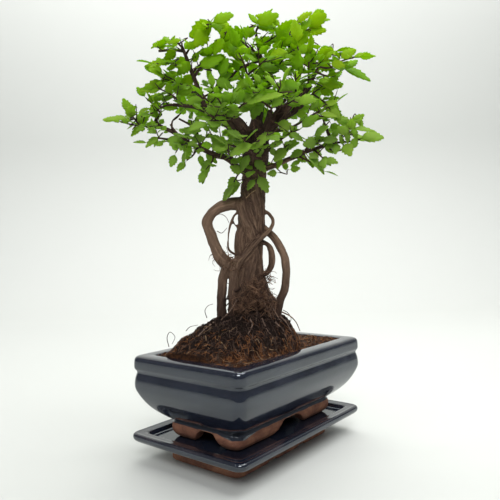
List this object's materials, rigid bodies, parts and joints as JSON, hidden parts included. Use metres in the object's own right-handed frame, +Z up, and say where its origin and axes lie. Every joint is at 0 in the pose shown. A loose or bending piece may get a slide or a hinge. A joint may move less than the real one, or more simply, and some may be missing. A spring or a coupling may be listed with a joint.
{
  "type": "elm bonsai",
  "caption": "Small-leaved elm bonsai with raised, looping roots, in a glazed oblong pot on arched feet that stands on a matching drip saucer.",
  "frame": {"origin": "on the table under the middle of the whole thing's box", "axes": "+Z up, +X along the pot's long side, +Y across the pot; the viewer of the picture stands off the corner at -X, -Y"},
  "size_m": [0.1548, 0.16, 0.323],
  "materials": {
    "glaze": "gloss",
    "screen": "matte",
    "soil": "matte",
    "bark": "matte",
    "leaf": "satin"
  },
  "bodies": {
    "root": {"saucer": "glaze", "pot": "glaze", "drain_screen_left": "screen", "drain_screen_right": "screen", "soil": "soil", "trunk": "bark", "spray_left_tip": "leaf", "spray_left_rise": "leaf", "spray_left_second_tip": "leaf", "spray_left_second_top": "leaf", "spray_left_side_tip": "leaf", "spray_left_drop": "leaf", "spray_left_drop_inner": "leaf", "spray_left_drop_near": "leaf", "spray_left_up": "leaf", "spray_left_middle": "leaf", "spray_left_upper": "leaf", "spray_left_spur_tip": "leaf", "spray_left_crown": "leaf", "spray_left_crown_low": "leaf", "spray_left_inner": "leaf", "spray_left_front": "leaf", "spray_left_behind": "leaf", "spray_top_left": "leaf", "spray_top_middle": "leaf", "spray_top_right": "leaf", "spray_crown_right": "leaf", "spray_crown_front": "leaf", "spray_crown_stem": "leaf", "spray_right_top": "leaf", "spray_right_edge": "leaf", "spray_right_thin_tip": "leaf", "spray_right_thin_low": "leaf", "spray_right_fork_tip": "leaf", "spray_right_tip": "leaf", "spray_right_drop": "leaf", "spray_right_middle": "leaf", "spray_right_middle_up": "leaf", "spray_right_hang": "leaf", "spray_right_near": "leaf", "spray_right_front_tip": "leaf", "spray_right_inner": "leaf", "spray_right_inner_up": "leaf", "spray_right_crown": "leaf", "spray_front_left_spray": "leaf", "spray_front_right_spray": "leaf", "spray_front_low_spray": "leaf", "spray_front_high_spray": "leaf", "spray_back_left_spray": "leaf", "spray_back_right_spray": "leaf", "spray_back_low_spray": "leaf", "spray_back_high_spray": "leaf", "spray_trunk_front": "leaf", "spray_trunk_shoot": "leaf"}
  },
  "joints": []
}
